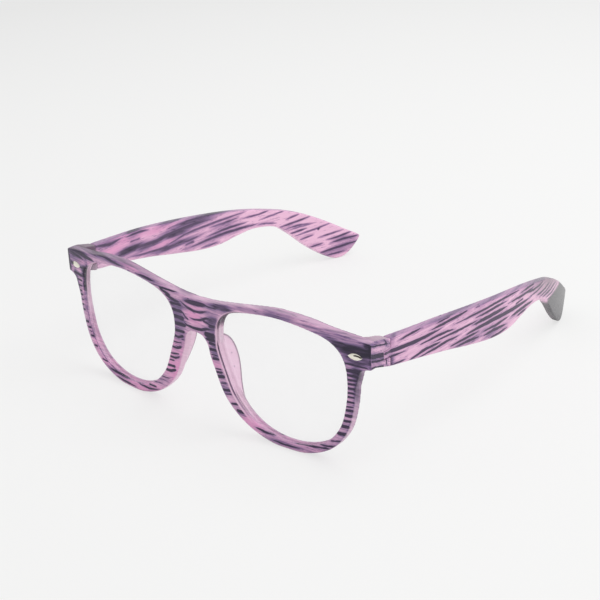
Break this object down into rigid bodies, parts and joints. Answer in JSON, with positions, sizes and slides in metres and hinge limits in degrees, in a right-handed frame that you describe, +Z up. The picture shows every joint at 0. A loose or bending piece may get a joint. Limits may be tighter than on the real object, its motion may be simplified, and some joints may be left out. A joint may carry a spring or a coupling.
{
  "type": "eyeglasses",
  "caption": "Full-rim plastic spectacles with rounded trapezoid lenses, moulded nose pads and folding arms.",
  "frame": {"origin": "on the table, in the middle of the width and of the depth", "axes": "+Z up, -Y the way the front faces, +X towards the wearer's left"},
  "size_m": [0.1482, 0.1616, 0.0509],
  "materials": {
    "frame_plastic": "satin gloss, translucent pink with dark purple grain streaks",
    "arm_plastic": "satin gloss, translucent pink with dark purple grain streaks",
    "lens_plastic": "clear and polished",
    "screw_steel": "machined",
    "stud_metal": "polished silver with a warm tint"
  },
  "bodies": {
    "front": {"front_frame": "frame_plastic", "lens_left": "lens_plastic", "lens_right": "lens_plastic", "hinge_screw_left": "screw_steel", "hinge_screw_right": "screw_steel", "stud_left": "stud_metal", "stud_right": "stud_metal"},
    "arm_left": {"temple_left": "arm_plastic"},
    "arm_right": {"temple_right": "arm_plastic"}
  },
  "joints": [
    {"name": "fold_left", "type": "hinge", "parent": "front", "child": "arm_left", "pos_m": [0.069, -0.06619, 0.0402], "axis": [0, 0, 1], "range_deg": [0, 86]},
    {"name": "fold_right", "type": "hinge", "parent": "front", "child": "arm_right", "pos_m": [-0.069, -0.06619, 0.0402], "axis": [0, 0, -1], "range_deg": [0, 79]}
  ]
}
